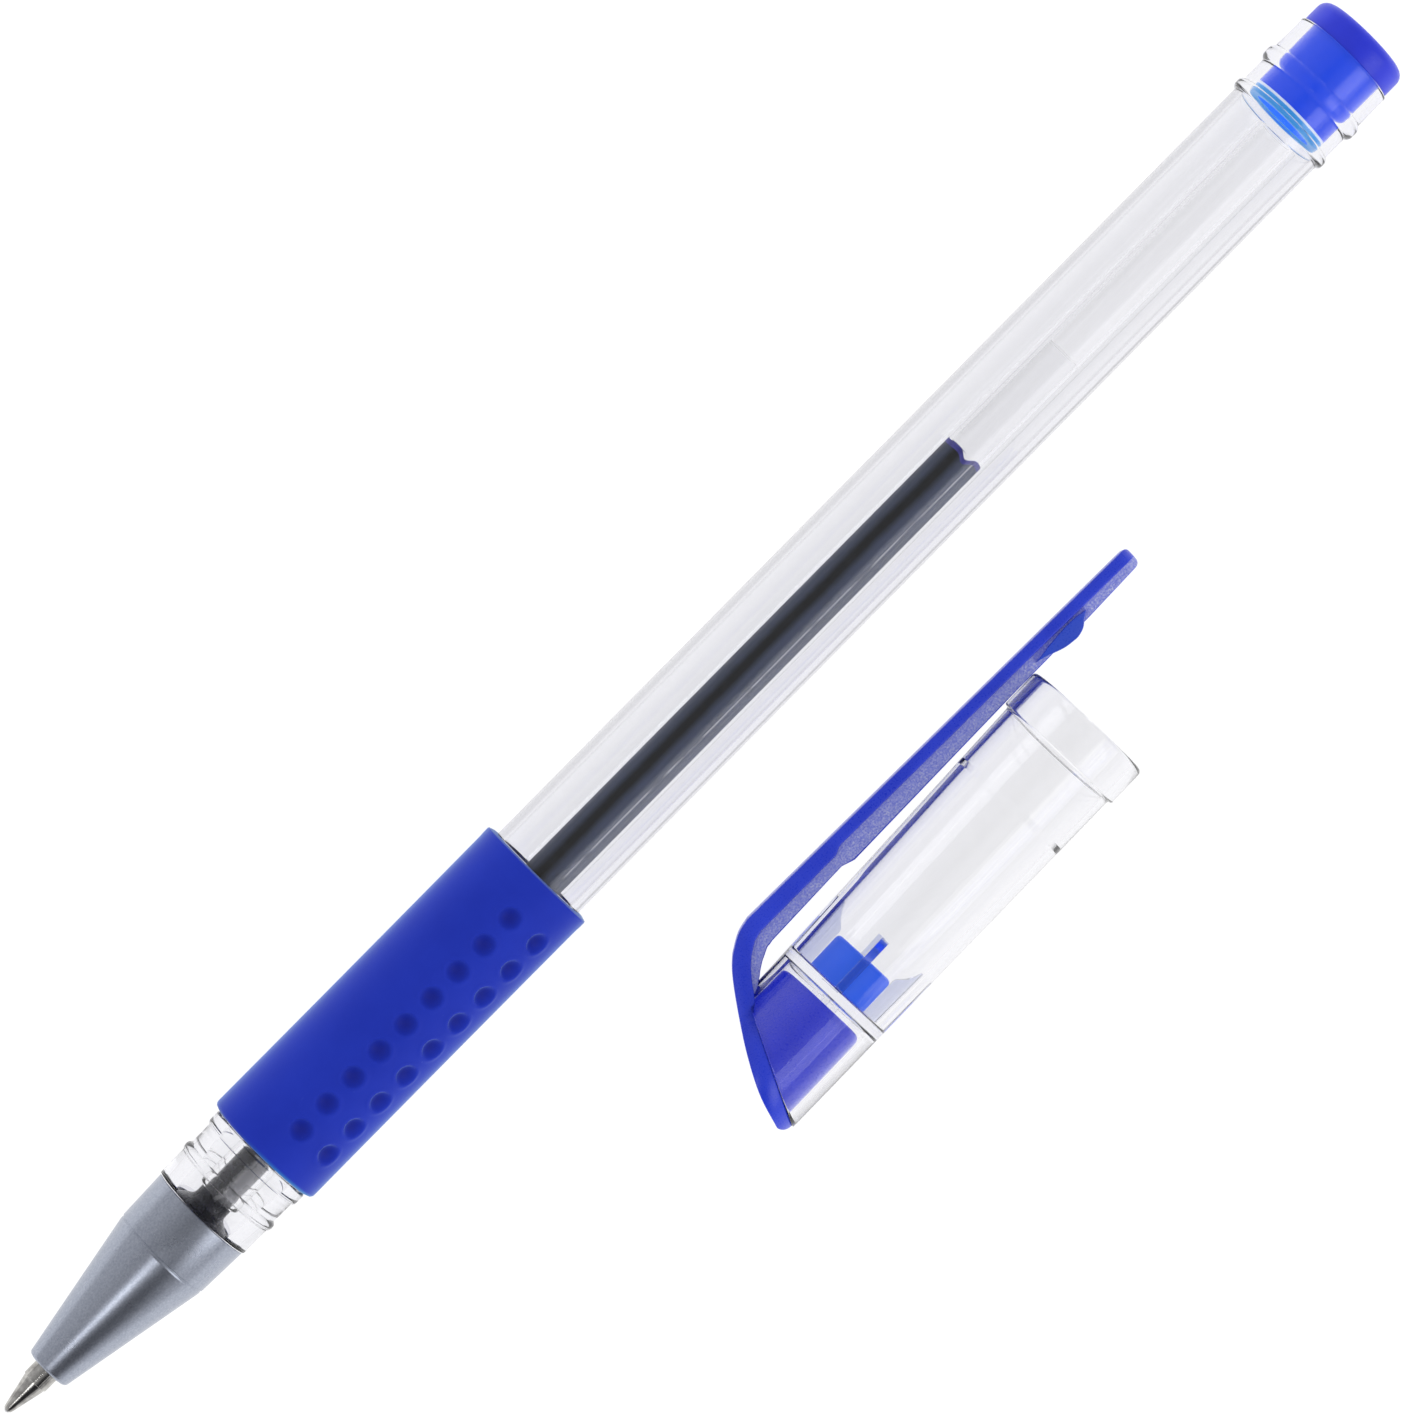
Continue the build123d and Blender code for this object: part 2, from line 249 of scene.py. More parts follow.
def smooth_path(points, step=0.25):
    """Catmull-Rom curve through flat points."""
    path = [Vector(point) for point in points]
    padded = [2 * path[0] - path[1]] + path + [2 * path[-1] - path[-2]]
    curve = []
    for i in range(len(path) - 1):
        a, b, c, d = padded[i:i + 4]
        count = max(2, round((c - b).length / step))
        for k in range(count):
            t = k / count
            bend = (2 * a - 5 * b + 4 * c - d) * t ** 2 + (3 * b - a - 3 * c + d) * t ** 3
            curve.append(0.5 * (2 * b + (c - a) * t + bend))
    return curve + [path[-1]]


def stations(start, end, count):
    """Evenly spaced stations, both ends included."""
    return [start + (end - start) * i / count for i in range(count + 1)]


def ease(distance, radius):
    """How far a rounded edge falls back, a distance in from its face."""
    return radius - math.sqrt(max(radius ** 2 - (radius - min(distance, radius)) ** 2, 0))


def collar_outline(collars):
    """Outer outline over a row of collars that touch or overlap."""
    places = set()
    for start, end, _, edge in collars:
        for k in range(7):
            inset = edge * (1 - math.cos(math.radians(15 * k)))
            places.update((round(start + inset, 4), round(end - inset, 4)))
    outline = []
    for x in sorted(places):
        heights = [
            radius - ease(min(x - start, end - x) + 1e-5, edge)
            for start, end, radius, edge in collars if start <= x <= end
        ]
        outline.append((x, max(heights)))
    return outline


def smoothstep(low, high, value):
    t = min(max((value - low) / (high - low), 0), 1)
    return t * t * (3 - 2 * t)


def leaning(co):
    """The refill's gentle lean towards the cap's side behind the grip."""
    return Vector((co.x, co.y - LEAN * smoothstep(LEAN_START, LEAN_END, co.x), co.z))


def slanted(fixed_x):
    """Warp that shears a turned piece so that its end at CLOSED_X lies in the slanted plane."""
    def warp(co):
        if co.x >= fixed_x:
            return co
        share = (co.x - fixed_x) / (CLOSED_X - fixed_x)
        return Vector((co.x + share * co.y * math.tan(SLANT), co.y, co.z))
    return warp


# ---- materials -----------------------------------------------------------------------------

CLEAR_IOR = 1.38                   # lower than real plastic, to match how the photo reads
FLOOR_GLOW = 0.96


def scaled(colour, factor):
    return tuple(channel * factor for channel in colour)


class Nodes:
    """Small builder for one material's node tree."""

    def __init__(self, name):
        self.material = bpy.data.materials.new(name)
        self.material.use_nodes = True
        self.tree = self.material.node_tree
        self.shader = self.tree.nodes["Principled BSDF"]
        self.place = self.tree.nodes.new("ShaderNodeTexCoord").outputs["Object"]

    def set(self, **values):
        for socket, value in values.items():
            self.shader.inputs[socket.replace("_", " ")].default_value = value

    def link(self, output, socket):
        self.tree.links.new(output, self.shader.inputs[socket])

    def stretched(self, scale):
        mapping = self.tree.nodes.new("ShaderNodeMapping")
        mapping.inputs["Scale"].default_value = scale
        self.tree.links.new(self.place, mapping.inputs["Vector"])
        return mapping.outputs["Vector"]

    def noise(self, scale, detail=2.0, stretch=(1, 1, 1), roughness=0.5):
        """Noise with features of about 1 / scale metres."""
        node = self.tree.nodes.new("ShaderNodeTexNoise")
        node.inputs["Scale"].default_value = scale
        node.inputs["Detail"].default_value = detail
        node.inputs["Roughness"].default_value = roughness
        self.tree.links.new(self.stretched(stretch), node.inputs["Vector"])
        return node.outputs["Fac"]

    def ramp(self, factor, *stops):
        """Colour ramp; each stop is (position, grey or colour)."""
        node = self.tree.nodes.new("ShaderNodeValToRGB")
        elements = node.color_ramp.elements
        while len(elements) < len(stops):
            elements.new(0.5)
        for element, (position, colour) in zip(elements, stops):
            element.position = position
            if isinstance(colour, (int, float)):
                colour = (colour, colour, colour)
            element.color = (*colour, 1)
        self.tree.links.new(factor, node.inputs["Fac"])
        return node.outputs["Color"]

    def bump(self, height, strength, distance):
        node = self.tree.nodes.new("ShaderNodeBump")
        node.inputs["Strength"].default_value = strength
        node.inputs["Distance"].default_value = distance
        self.tree.links.new(height, node.inputs["Height"])
        return node.outputs["Normal"]

    def weight(self, name):
        node = self.tree.nodes.new("ShaderNodeAttribute")
        node.attribute_name = name
        return node.outputs["Fac"]

    def mix(self, factor, a, b):
        """Colour a to colour b; each is a colour or an output."""
        node = self.tree.nodes.new("ShaderNodeMix")
        node.data_type = "RGBA"
        sockets = {"A": node.inputs[6], "B": node.inputs[7]}
        self.tree.links.new(factor, node.inputs[0])
        for key, value in (("A", a), ("B", b)):
            if isinstance(value, tuple):
                sockets[key].default_value = (*value, 1)
            else:
                self.tree.links.new(value, sockets[key])
        return node.outputs[2]

    def sum_or_product(self, operation, a, b):
        node = self.tree.nodes.new("ShaderNodeMath")
        node.operation = operation
        self.tree.links.new(a, node.inputs[0])
        self.tree.links.new(b, node.inputs[1])
        return node.outputs[0]

    def add(self, a, b):
        return self.sum_or_product("ADD", a, b)

    def times(self, a, b):
        return self.sum_or_product("MULTIPLY", a, b)


def clear_plastic(name, tint, rough, ior=CLEAR_IOR, milky_glow=0.0, side_shade=None):
    """Polished clear moulding: faint flow lines along it, and a trace of lavender.

    milky_glow is a painted glow standing in for the light a milky plastic scatters back; side_shade
    is the share of the tint left where painted shade darkens marked places.
    """
    m = Nodes(name)
    m.set(Transmission_Weight=1.0, IOR=ior)
    # painted light: a faint white glow with no lamp behind it
    if milky_glow:
        m.set(Emission_Color=(1, 1, 1, 1), Emission_Strength=milky_glow)
    flow = m.noise(700, 2, stretch=(0.12, 1, 1))
    fine = m.noise(4200, 1, stretch=(0.06, 1, 1))
    colour = m.ramp(flow, (0.3, scaled(tint, 0.985)), (0.7, tint))
    # painted shade: the side_shade weight darkens the tint along marked places
    if side_shade:
        colour = m.mix(m.weight("side_shade"), colour, scaled(tint, side_shade))
    m.link(colour, "Base Color")
    m.link(m.ramp(fine, (0.35, rough * 0.6), (0.75, rough * 1.6)), "Roughness")
    return m.material


def frosted_plastic(name, tint, rough):
    """Clear moulding where it was cut or pressed: cloudy, with bright grains."""
    m = Nodes(name)
    m.set(IOR=CLEAR_IOR)
    grain = m.noise(5200, 2, roughness=0.7)
    m.link(m.ramp(grain, (0.35, scaled(tint, 0.8)), (0.6, tint)), "Base Color")
    m.link(m.ramp(grain, (0.52, 1.0), (0.60, 0.25)), "Transmission Weight")
    m.link(m.ramp(grain, (0.3, rough * 0.6), (0.7, rough * 1.4)), "Roughness")
    m.link(m.bump(grain, 0.5, 0.00005), "Normal")
    return m.material


def grip_rubber():
    """Matt rubber; the pits are darkened as painted shade, a painted cyan rim light runs along the
    front edge, and a few pale scuffs lie on the skin.
    """
    m = Nodes("grip_rubber")
    m.set(IOR=1.45, Specular_IOR_Level=0.22, Sheen_Weight=0.75, Sheen_Roughness=0.35)
    m.set(Sheen_Tint=(0.55, 0.80, 1.0, 1))
    cloud = m.noise(260, 4)
    scuff = m.noise(1500, 3, stretch=(0.5, 1, 1), roughness=0.75)
    skin = m.noise(9000, 3)
    rubber = m.ramp(cloud, (0.3, (0.011, 0.036, 0.55)), (0.7, (0.016, 0.045, 0.61)))
    # painted shade: the pit weight darkens the rubber inside the dimples
    pit_shaded = m.mix(m.weight("pit"), rubber, (0.008, 0.020, 0.36))
    # painted light: a cyan rim light along the front edge, stronger on the cap's side
    pit_shaded = m.mix(m.weight("rim"), pit_shaded, (0.04, 0.33, 0.80))
    scuffs = m.ramp(scuff, (0.70, 0.0), (0.78, 0.35))
    m.link(m.mix(scuffs, pit_shaded, (0.10, 0.16, 0.70)), "Base Color")
    m.link(m.ramp(cloud, (0.2, 0.52), (0.8, 0.66)), "Roughness")
    m.link(m.bump(skin, 0.25, 0.00003), "Normal")
    return m.material


def blue_plastic(name, low, high, rough=0.3, glow=None):
    """Blue moulding; glow stands in for the lamp light that clear plastic round it keeps out."""
    m = Nodes(name)
    m.set(IOR=1.46)
    if glow:
        m.set(Emission_Color=(*glow, 1), Emission_Strength=1.0)
    cloud = m.noise(320, 3)
    fine = m.noise(8000, 2)
    m.link(m.ramp(cloud, (0.3, low), (0.7, high)), "Base Color")
    m.link(m.ramp(fine, (0.3, rough * 0.8), (0.7, rough * 1.25)), "Roughness")
    m.link(m.bump(fine, 0.08, 0.00003), "Normal")
    return m.material


def rib_side_lit_blue():
    """Spark-eroded side of the clip's rib: a matt finish, painted paler as painted light, with tiny
    glints painted in as near-white grains.
    """
    m = Nodes("rib_matte_lit_blue")
    m.set(IOR=1.46, Sheen_Weight=0.3, Sheen_Roughness=0.4, Sheen_Tint=(0.75, 0.75, 1.0, 1))
    grain = m.noise(7000, 2, roughness=0.7)
    patch = m.noise(500, 2)
    # painted highlights: the grain's top stop is near white, as tiny glints
    colour = m.ramp(
        grain, (0.3, (0.20, 0.23, 0.82)), (0.5, (0.34, 0.38, 0.92)), (0.75, (0.75, 0.78, 1.0)),
    )
    patches = m.ramp(patch, (0.35, 0.0), (0.7, 0.3))
    m.link(m.mix(patches, colour, (0.30, 0.34, 0.90)), "Base Color")
    m.link(m.ramp(grain, (0.3, 0.65), (0.8, 0.4)), "Roughness")
    m.link(m.bump(grain, 0.5, 0.00006), "Normal")
    return m.material


def silver_paint():
    """Satin silver: metallic flake in a plastic body."""
    m = Nodes("silver_paint")
    m.set(Metallic=0.9, IOR=1.5)
    flake = m.noise(6500, 1, roughness=0.8)
    cloud = m.noise(420, 3)
    m.link(m.ramp(flake, (0.25, (0.315, 0.345, 0.42)), (0.75, (0.445, 0.475, 0.55))), "Base Color")
    m.link(m.ramp(cloud, (0.3, 0.27), (0.7, 0.29)), "Roughness")
    m.link(m.bump(flake, 0.03, 0.00002), "Normal")
    return m.material


def tip_metal():
    """Turned nickel silver, with fine rings round it."""
    m = Nodes("tip_metal")
    m.set(Metallic=1.0)
    rings = m.noise(16000, 2, stretch=(1, 0.02, 0.02))
    stain = m.noise(1500, 3)
    m.link(m.ramp(stain, (0.3, (0.26, 0.25, 0.24)), (0.7, (0.62, 0.61, 0.58))), "Base Color")
    m.link(m.ramp(rings, (0.3, 0.07), (0.7, 0.16)), "Roughness")
    m.link(m.bump(rings, 0.15, 0.00002), "Normal")
    return m.material


def ball_metal():
    m = Nodes("ball_metal")
    m.set(Metallic=1.0)
    pits = m.noise(20000, 2)
    m.link(m.ramp(pits, (0.3, (0.5, 0.5, 0.5)), (0.7, (0.75, 0.75, 0.76))), "Base Color")
    m.link(m.ramp(pits, (0.3, 0.12), (0.7, 0.22)), "Roughness")
    return m.material


def gel_ink():
    """Blue-black gel against the tube's wall, with a dark streak painted as shade, paler flanks
    painted as light, and a painted highlight line.
    """
    m = Nodes("gel_ink")
    m.set(IOR=1.40, Specular_IOR_Level=0.3)
    streak = m.noise(900, 4, stretch=(0.06, 1, 1))
    speck = m.noise(5000, 2, stretch=(0.15, 1, 1), roughness=0.7)
    # thin is the paler colour painted on the lit flanks
    thin = m.ramp(streak, (0.3, (0.066, 0.100, 0.20)), (0.7, (0.118, 0.156, 0.29)))
    broken = m.ramp(m.noise(1400, 3, stretch=(0.2, 1, 1)), (0.42, 0.0), (0.52, 1.0))
    # painted shade and light: the ink_shading weight sets the dark streak against the lit flanks
    body = m.mix(m.weight("ink_shading"), (0.0, 0.001, 0.006), thin)
    # painted highlight: the glint weight, broken up by noise, mixes in near white
    m.link(m.mix(m.times(m.weight("glint"), broken), body, (0.90, 0.92, 0.97)), "Base Color")
    m.link(m.ramp(speck, (0.3, 0.28), (0.7, 0.5)), "Roughness")
    m.link(m.bump(m.add(streak, speck), 0.2, 0.00005), "Normal")
    return m.material


def thin_ink():
    """Rim of the ink column, thin enough to show its violet blue."""
    m = Nodes("ink_rim")
    m.set(IOR=1.40)
    cloud = m.noise(2500, 2)
    m.link(m.ramp(cloud, (0.3, (0.06, 0.05, 0.5)), (0.7, (0.12, 0.12, 0.75))), "Base Color")
    m.link(m.ramp(cloud, (0.3, 0.3), (0.7, 0.5)), "Roughness")
    return m.material


def smoky_plastic():
    """Connector: translucent plastic darkened by the ink in it."""
    m = Nodes("smoky_plastic")
    m.set(IOR=1.46, Transmission_Weight=0.3)
    cloud = m.noise(1400, 3)
    dark = m.ramp(cloud, (0.3, (0.018, 0.020, 0.035)), (0.7, (0.05, 0.052, 0.075)))
    # painted light: the pale weight lightens the stem on the cap's side
    m.link(m.mix(m.weight("pale"), dark, (0.72, 0.72, 0.76)), "Base Color")
    m.link(m.ramp(cloud, (0.3, 0.2), (0.7, 0.35)), "Roughness")
    m.link(m.bump(cloud, 0.1, 0.00005), "Normal")
    return m.material


def floor_paper():
    """Plain pale floor, mostly its own light, so that the clear pieces cast no heavy shade."""
    m = Nodes("floor_paper")
    fibre = m.noise(600, 4)
    m.set(IOR=1.3, Specular_IOR_Level=0.0, Roughness=0.9)
    m.set(Emission_Color=(1, 1, 1, 1), Emission_Strength=FLOOR_GLOW)
    m.link(m.ramp(fibre, (0.3, 0.20), (0.7, 0.23)), "Base Color")
    return m.material


# ---- light, floor and camera ---------------------------------------------------------------

WORLD_STOPS = (                    # sine of elevation, grey
    (0.0, 0.66), (0.6, 0.62), (0.9, 0.40), (0.965, 0.34), (0.99, 0.16), (1.0, 0.12),
)
DARK_CORNER = (-0.472, -0.604, 0.643)
DARK_CORNER_EDGE, DARK_CORNER_CORE = math.radians(30), math.radians(12)
DARK_CORNER_DEPTH, DARK_GREY = 0.97, (0.02, 0.02, 0.025, 1)
FLOOR_SIZE, FLOOR_Z = 3.0, -0.0001
CAMERA_HEIGHT = 0.505              # above the surface
CAMERA_OVER = (71.0, 0.02)         # station along the pen and side offset, millimetres
CAMERA_TURN = math.radians(-45.31)
SENSOR = 36.0
FRAME_HEIGHT = 0.10146             # height of the picture at the pen's axis, metres


def make_camera():
    data = bpy.data.cameras.new("camera")
    data.sensor_width = SENSOR
    data.clip_start = 0.01
    over = PEN @ Vector((*CAMERA_OVER, 0))
    data.lens = SENSOR * (CAMERA_HEIGHT - over.z) / FRAME_HEIGHT
    camera = bpy.data.objects.new("camera", data)
    camera.location = (over.x, over.y, CAMERA_HEIGHT)
    camera.rotation_euler = (0, 0, CAMERA_TURN)
    bpy.context.scene.collection.objects.link(camera)
    bpy.context.scene.camera = camera


def soft_box(name, power, size, azimuth, elevation, distance=0.7):
    """Rectangular lamp seen from the origin at that azimuth and elevation, facing it."""
    data = bpy.data.lights.new(name, "AREA")
    data.shape = "RECTANGLE"
    data.size, data.size_y = size
    data.energy = power
    lamp = bpy.data.objects.new(name, data)
    az, el = math.radians(azimuth), math.radians(elevation)
    way = Vector((math.cos(az) * math.cos(el), math.sin(az) * math.cos(el), math.sin(el)))
    lamp.location = way * distance
    lamp.rotation_euler = way.to_track_quat("Z", "Y").to_euler()
    lamp.visible_camera = False
    bpy.context.scene.collection.objects.link(lamp)
    return lamp


def make_world():
    """Light tent: pale walls, dimmer ceiling, and a dark corner that gives the metal its shape."""
    world = bpy.data.worlds.new("studio")
    world.use_nodes = True
    tree = world.node_tree
    place = tree.nodes.new("ShaderNodeTexCoord").outputs["Generated"]
    split = tree.nodes.new("ShaderNodeSeparateXYZ")
    tree.links.new(place, split.inputs["Vector"])
    ramp = tree.nodes.new("ShaderNodeValToRGB")
    while len(ramp.color_ramp.elements) < len(WORLD_STOPS):
        ramp.color_ramp.elements.new(0.5)
    for element, (position, grey) in zip(ramp.color_ramp.elements, WORLD_STOPS):
        element.position = position
        element.color = (grey, grey, grey * 1.02, 1)
    tree.links.new(split.outputs["Z"], ramp.inputs["Fac"])
    dot = tree.nodes.new("ShaderNodeVectorMath")
    dot.operation = "DOT_PRODUCT"
    dot.inputs[1].default_value = DARK_CORNER
    tree.links.new(place, dot.inputs[0])
    fade = tree.nodes.new("ShaderNodeMapRange")
    fade.interpolation_type = "SMOOTHSTEP"
    fade.inputs["From Min"].default_value = math.cos(DARK_CORNER_EDGE)
    fade.inputs["From Max"].default_value = math.cos(DARK_CORNER_CORE)
    fade.inputs["To Max"].default_value = DARK_CORNER_DEPTH
    tree.links.new(dot.outputs["Value"], fade.inputs["Value"])
    mix = tree.nodes.new("ShaderNodeMix")
    mix.data_type = "RGBA"
    mix.inputs[7].default_value = DARK_GREY
    tree.links.new(fade.outputs["Result"], mix.inputs[0])
    tree.links.new(ramp.outputs["Color"], mix.inputs[6])
    tree.links.new(mix.outputs[2], tree.nodes["Background"].inputs["Color"])
    bpy.context.scene.world = world


def make_floor():
    bm = bmesh.new()
    bmesh.ops.create_grid(bm, x_segments=2, y_segments=2, size=FLOOR_SIZE)
    floor = add_object("floor", bm, Matrix.Translation((0, 0, FLOOR_Z)))
    floor.data.materials.append(floor_paper())


def make_studio():
    make_world()
    soft_box("front_box", 0.27, (0.14, 0.20), 180, 60)
    soft_box("side_box", 0.75, (0.34, 0.42), -82, 38)
    soft_box("strip", 0.07, (0.60, 0.030), -90, 37, distance=0.62)
    fill = soft_box("fill_box", 0.9, (0.8, 0.8), 90, 80, distance=1.0)
    fill.visible_glossy = fill.visible_transmission = False
    make_floor()
    make_camera()
    bpy.context.scene.view_settings.view_transform = "Standard"


# ---- pen pieces ----------------------------------------------------------------------------

def finish_piece(obj, materials, body, slot, *nodes):
    """Materials, the body it rides on, its slot (not used), and the CAD nodes it stands in for."""
    for material in materials if isinstance(materials, tuple) else (materials,):
        obj.data.materials.append(material)
    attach(obj, body)
    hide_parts(*nodes)


def barrel_zone(x, r):
    """0 tinted outer wall, 1 collars, 2 sparkling band beside the cone, 3 untinted bore."""
    if r < 3.6 and x > 20.1:
        return 3
    if x > REAR_RINGS[0][0] - 0.1:
        return 1
    if r < 3.9 or not 20.1 < x < 26.1:
        return 0
    return 2 if 21.6 < x < 22.4 else 1


def edge_shade_lines(co):
    """Painted shade along the barrel's sides: a thin dark line on the cap's side and a broader,
    fainter dark band on the far side.
    """
    turn = math.degrees(math.atan2(-co.y, co.z))
    if not GRIP_REAR < co.x < REAR_RINGS[0][0]:
        return 0.0
    near = 1 - smoothstep(1.5, 5.0, abs(turn - 71))
    far = 0.6 * (1 - smoothstep(6.0, 16.0, abs(turn + 90)))
    return max(near, far)


def make_barrel():
    wall_front, bore_rear, bore_front = GRIP_REAR + 0.03, 125.0, 26.5
    outline = [(SPIGOT_FRONT, SPIGOT_BORE_R), (SPIGOT_FRONT, 3.15), (SPIGOT_FRONT + 0.12, 3.27)]
    outline += [(CONE_REAR, 3.27), (CONE_REAR, 4.05)] + collar_outline(COLLARS)[1:]
    outline += [(COLLARS[-1][1], GRIP_SEAT_R), (GRIP_REAR, GRIP_SEAT_R), (GRIP_REAR, 4.02)]
    outline += [(wall_front, BARREL_R)]
    outline += [(x, BARREL_R) for x in stations(wall_front, REAR_RINGS[0][0], 30)[1:]]
    outline += collar_outline(REAR_RINGS)
    outline += [(BARREL_END, 3.50), (BARREL_END - 0.04, 3.46), (129.9, 3.46), (128.0, 3.42)]
    outline += [(x, BORE_R) for x in stations(bore_rear, bore_front, 30)]
    outline += [(24.5, 3.18), (22.5, 2.94), (20.5, SPIGOT_BORE_R)]
    barrel = lathe("barrel_clear", outline, PEN, 192, zone=barrel_zone)
    materials = (
        clear_plastic("barrel_clear_plastic", (0.80, 0.80, 0.835), 0.03, side_shade=0.42),
        clear_plastic("collar_clear", (0.85, 0.85, 0.88), 0.04, 1.30),
        frosted_plastic("collar_sparkle", (0.84, 0.84, 0.87), 0.30),
        clear_plastic("bore_clear_plastic", (1.0, 1.0, 1.0), 0.02),
    )
    # painted shade: dark lines along the barrel's two sides
    add_weights(barrel, "side_shade", edge_shade_lines, PEN)
    finish_piece(barrel, materials, "pen_body", "clear_plastic", "barrel")


def grip_radius(x, turn, dimples):
    """Outer radius of the sleeve, and how deep in a pit that point lies, 0 to 1."""
    middle = (GRIP_FRONT + GRIP_REAR) / 2
    waist = 0.02 * (1 - ((x - middle) / (GRIP_REAR - middle)) ** 2)
    lip = GRIP_LIP * smoothstep(GRIP_REAR - 1.1, GRIP_REAR - 0.5, x)
    radius, pit = GRIP_R - waist + lip, 0.0
    for dimple_x, dimple_turn in dimples:
        across = (turn - dimple_turn + math.pi) % (2 * math.pi) - math.pi
        gap = math.hypot(x - dimple_x, across * GRIP_R)
        if gap < 2 * DIMPLE_R:
            bowl = 1 - min(gap / DIMPLE_R, 1) ** 2
            halo = math.exp(-(((gap - 1.18 * DIMPLE_R) / (0.2 * DIMPLE_R)) ** 2))
            radius += DIMPLE_HALO * halo - DIMPLE_DEPTH * bowl ** 0.8
            pit = max(pit, bowl)
    return min(radius, GRIP_R + GRIP_LIP), pit


def make_grip():
    """Fine grid wrapped round the pen, closed by round edges and a plain bore."""
    rows = [math.radians(angle) for angle in DIMPLE_ROWS]
    dimples = [(DIMPLE_START + i * DIMPLE_PITCH, row) for row in rows for i in range(DIMPLES)]
    steps = round((GRIP_REAR - GRIP_FRONT) / GRIP_STEP)
    bore_r = GRIP_SEAT_R + 0.02
    bm = bmesh.new()
    rings = [[] for _ in range(steps + 3)]
    pits, rim = bm.verts.layers.float.new("pit"), bm.verts.layers.float.new("rim")
    for k in range(GRIP_SEGMENTS):
        turn = 2 * math.pi * k / GRIP_SEGMENTS
        way = Vector((0, -math.sin(turn), math.cos(turn)))
        cap_side = smoothstep(-0.6, 0.9, math.sin(turn))
        for i in range(steps + 1):
            x = GRIP_FRONT + (GRIP_REAR - GRIP_FRONT) * i / steps
            drop = ease(min(x - GRIP_FRONT, (GRIP_REAR - x) * 2), GRIP_EDGE)
            radius, pit = grip_radius(x, turn, dimples)
            vert = bm.verts.new(Vector((x, 0, 0)) + way * (radius - drop))
            # the pit weight drives the painted shade in the dimples
            vert[pits] = pit
            # painted light: the rim weight paints the front edge's cyan rim light, stronger on the
            # cap's side
            vert[rim] = 0.9 * (1 - smoothstep(0.05, 0.35, x - GRIP_FRONT)) * cap_side
            rings[i].append(vert)
        rings[steps + 1].append(bm.verts.new(Vector((GRIP_REAR, 0, 0)) + way * bore_r))
        rings[steps + 2].append(bm.verts.new(Vector((GRIP_FRONT, 0, 0)) + way * bore_r))
    for ring, ahead in zip(rings, rings[1:] + rings[:1]):
        for k in range(GRIP_SEGMENTS):
            after = (k + 1) % GRIP_SEGMENTS
            bm.faces.new((ring[k], ring[after], ahead[after], ahead[k]))
    grip = add_object("grip_dimpled", bm, PEN, 50)
    finish_piece(grip, grip_rubber(), "pen_body", "grip_rubber", "grip_sleeve")


def make_end_plug():
    """Hollow stem whose lip in the barrel is painted bright as light through it, a painted
    highlight line behind the lip, and the flat round head behind it.
    """
    hollow_end = 135.8
    outline = rounded([
        (130.1, 2.75, 0.1), (130.1, 3.43, 0.15), (130.72, 3.43), (130.78, 3.36),
        (130.9, 3.36), (130.96, 3.43), (BARREL_END, 3.43), (BARREL_END, 3.98, 0.06),
        (PEN_LENGTH, 3.98, 0.8), (PEN_LENGTH, 0), (hollow_end, 0), (hollow_end, 2.75, 0.3),
    ])

    def zone(x, r):
        """0 lip painted bright, 1 painted highlight line behind it, 2 stem, 3 head, 4 hollow."""
        if r < 2.8 and x < hollow_end + 0.1:
            return 4
        return sum(x > edge for edge in (130.75, 130.93, BARREL_END - 0.05))

    plug = lathe("end_plug_blue", outline, PEN, zone=zone)
    paints = (                     # name, low and high colour, roughness, glow
        # painted light: the lip is a paler cyan with a glow, as if lit through
        ("plug_lip_lit", (0.03, 0.28, 0.75), (0.05, 0.36, 0.85), 0.35, (0.02, 0.16, 0.40)),
        # painted highlight: a near-white line with a glow
        ("plug_highlight_line", (0.70, 0.74, 0.90), (0.80, 0.83, 0.95), 0.3, (0.35, 0.38, 0.45)),
        ("plug_stem", (0.010, 0.045, 0.72), (0.018, 0.065, 0.80), 0.4, (0.006, 0.045, 0.50)),
        ("plug_head", (0.018, 0.036, 0.80), (0.026, 0.048, 0.92), 0.35, None),
        ("plug_bore", (0.03, 0.17, 0.75), (0.05, 0.22, 0.85), 0.35, (0.02, 0.14, 0.50)),
    )
    materials = tuple(blue_plastic(*paint) for paint in paints)
    finish_piece(plug, materials, "end_plug", "blue_plastic", "end_plug")


def make_nose_cone():
    """Taper, fine groove, and the straight skirt that the barrel's spigot fills."""
    outline = rounded([
        (4.3, 1.10, 0.08), (4.3, 1.765, 0.3), (15.9, 3.92, 0.3), (15.95, 3.87), (16.03, 3.87),
        (16.07, 3.94), (CONE_REAR, 4.07, 0.1), (CONE_REAR, 3.31), (15.0, 3.31), (15.0, 1.60),
        (7.2, 1.60), (7.2, 1.10),
    ])
    cone = lathe("nose_cone_silver", outline, PEN)
    finish_piece(cone, silver_paint(), "nose_cone", "silver_plastic", "nose_cone")


def make_metal_tip():
    """Turned point with the ball's socket in its end, a step, and the shank in the connector."""
    turns = [math.radians(20 + 140 * k / 8) for k in range(9)]
    socket = [(BALL_R + SOCKET_R * math.cos(turn), SOCKET_R * math.sin(turn)) for turn in turns]
    inside = sorted((Vector(point) for point in socket if point[0] >= 0.12), key=lambda p: -p.x)
    outline = rounded([
        (0.15, 0.30, 0.02), (0.45, 0.385, 0.1), (1.9, 0.71, 0.5), (2.9, 0.935, 0.05),
        (3.0, 0.95, 0.02), (3.03, TIP_SHANK_R, 0.03), (TIP_REAR, TIP_SHANK_R),
        (TIP_REAR, TIP_BORE_R), (1.4, TIP_BORE_R), (1.4, 0.12),
    ])
    tip = lathe("metal_tip_turned", outline + inside, PEN, 96, sharp=25)
    finish_piece(tip, tip_metal(), "refill", "tip_metal", "metal_tip")


